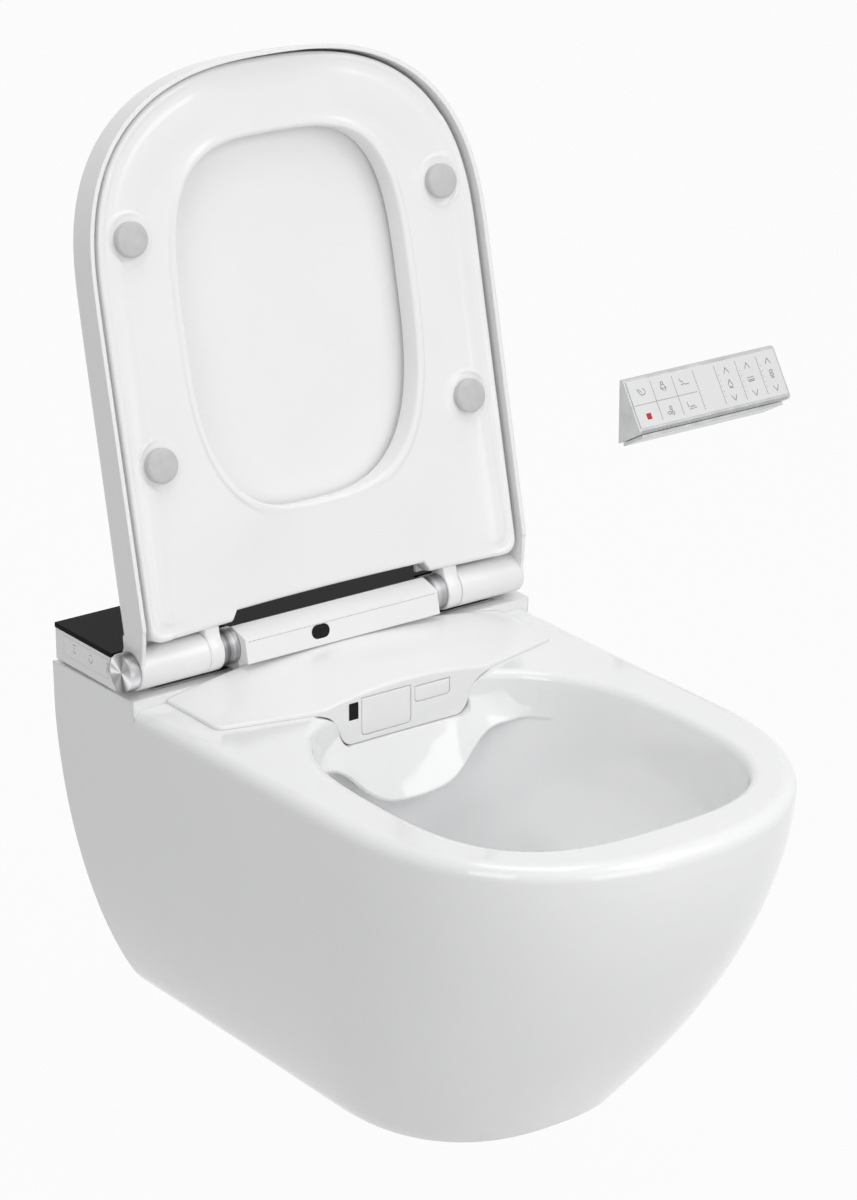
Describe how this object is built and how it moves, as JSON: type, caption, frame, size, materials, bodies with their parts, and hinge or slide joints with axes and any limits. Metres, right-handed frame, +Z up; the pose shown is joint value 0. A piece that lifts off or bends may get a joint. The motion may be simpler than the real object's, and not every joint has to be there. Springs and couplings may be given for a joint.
{
  "type": "wall-hung smart toilet with heated seat",
  "caption": "Wall-hung ceramic toilet with a heated seat, soft-close lid, wash arm, warm-air dryer, sensor housing, touch casing and a docked remote control.",
  "frame": {"origin": "on the wall plane, midway between the two wall studs", "axes": "+Z up, +Y into the wall, so the bowl points along -Y; +X to the right as seen from the front"},
  "size_m": [0.7344, 0.5559, 0.7647],
  "materials": {
    "ceramic": "gloss white glaze",
    "white_plastic": "gloss white",
    "satin_plastic": "satin white",
    "black_glass": "gloss black",
    "black_plastic": "gloss black",
    "bright_metal": "brushed bright",
    "brushed_knob": "brushed",
    "grey_rubber": "matte grey",
    "silver_plastic": "silver satin",
    "grey_plastic": "matte grey",
    "steel": "plain",
    "circuit": "matte green",
    "copper_foil": "bright",
    "water_rubber": "matte black",
    "battery": "satin"
  },
  "bodies": {
    "pan_unit": {"ceramic_pan": "ceramic", "technical_box": "white_plastic", "glass_top": "black_glass", "side_touch_film": "white_plastic", "sensor_housing": "white_plastic", "sensor_window": "black_plastic", "nozzle_cover": "white_plastic", "lip_lens": "black_plastic", "base_tray": "satin_plastic", "tray_screws": "steel", "hinge_bracket": "steel", "hinge_shaft_left": "steel", "hinge_shaft_right": "steel", "hinge_sleeve_left": "bright_metal", "hinge_sleeve_right": "bright_metal", "soft_close_damper_left": "grey_plastic", "soft_close_damper_right": "grey_plastic", "arm_guide": "grey_plastic", "arm_motor": "grey_plastic", "fan_housing": "grey_plastic", "fan_motor": "grey_plastic", "dryer_duct": "grey_plastic", "water_heater": "satin_plastic", "water_pump": "grey_plastic", "solenoid_valve": "grey_plastic", "water_hoses": "water_rubber", "water_inlet": "steel", "mains_gland": "grey_plastic", "power_supply": "grey_plastic", "control_board": "circuit", "stud_sleeves": "satin_plastic", "remote_dock": "silver_plastic"},
    "lid": {"lid": "white_plastic", "lid_bumpers": "grey_rubber"},
    "seat": {"seat_upper_shell": "white_plastic", "seat_lower_shell": "white_plastic", "seat_heating_foil": "copper_foil", "seat_temperature_sensor": "black_plastic", "seat_bumpers": "grey_rubber"},
    "wash_arm": {"wash_arm": "steel", "wash_nozzle_tip": "satin_plastic"},
    "nozzle_flap": {"nozzle_flap": "white_plastic"},
    "arm_pinion": {"arm_pinion": "grey_plastic"},
    "dryer_flap": {"dryer_flap": "white_plastic"},
    "fan_impeller": {"fan_impeller": "grey_plastic"},
    "control_knob": {"control_knob": "brushed_knob"},
    "remote": {"remote_shell": "silver_plastic", "remote_face": "white_plastic", "remote_board": "circuit", "remote_battery": "battery"}
  },
  "joints": [
    {"name": "lid_hinge", "type": "hinge", "parent": "pan_unit", "child": "lid", "pos_m": [0, -0.0975, 0.1524], "axis": [-1, 0, 0], "range_deg": [-102.3, 0]},
    {"name": "seat_hinge", "type": "hinge", "parent": "lid", "child": "seat", "pos_m": [0, -0.0975, 0.1524], "axis": [1, 0, 0], "range_deg": [0, 102.3]},
    {"name": "arm_slide", "type": "slide", "parent": "pan_unit", "child": "wash_arm", "axis": [0, -0.9903, -0.1392], "range_m": [0, 0.075]},
    {"name": "nozzle_flap_hinge", "type": "hinge", "parent": "pan_unit", "child": "nozzle_flap", "pos_m": [-0.0175, -0.1993, 0.1272], "axis": [-1, 0, 0], "range_deg": [0, 100]},
    {"name": "pinion_turn", "type": "hinge", "parent": "pan_unit", "child": "arm_pinion", "pos_m": [-0.0175, -0.125, 0.1035], "axis": [1, 0, 0], "range_deg": [0, 800]},
    {"name": "dryer_flap_hinge", "type": "hinge", "parent": "pan_unit", "child": "dryer_flap", "pos_m": [0.0265, -0.1993, 0.1242], "axis": [-1, 0, 0], "range_deg": [0, 80]},
    {"name": "fan_spin", "type": "hinge", "parent": "pan_unit", "child": "fan_impeller", "pos_m": [0.042, -0.056, 0.115], "axis": [0, 0, 1], "continuous": true},
    {"name": "knob_turn", "type": "hinge", "parent": "pan_unit", "child": "control_knob", "pos_m": [-0.189, -0.0975, 0.1524], "axis": [-1, 0, 0], "continuous": true},
    {"name": "remote_lift", "type": "slide", "parent": "pan_unit", "child": "remote", "axis": [0, 0, 1], "range_m": [0, 0.03]}
  ],
  "couplings": [
    {"joint": "nozzle_flap_hinge", "follows": "arm_slide", "rad_per_m": 23.27},
    {"joint": "pinion_turn", "follows": "arm_slide", "rad_per_m": 166.67}
  ]
}
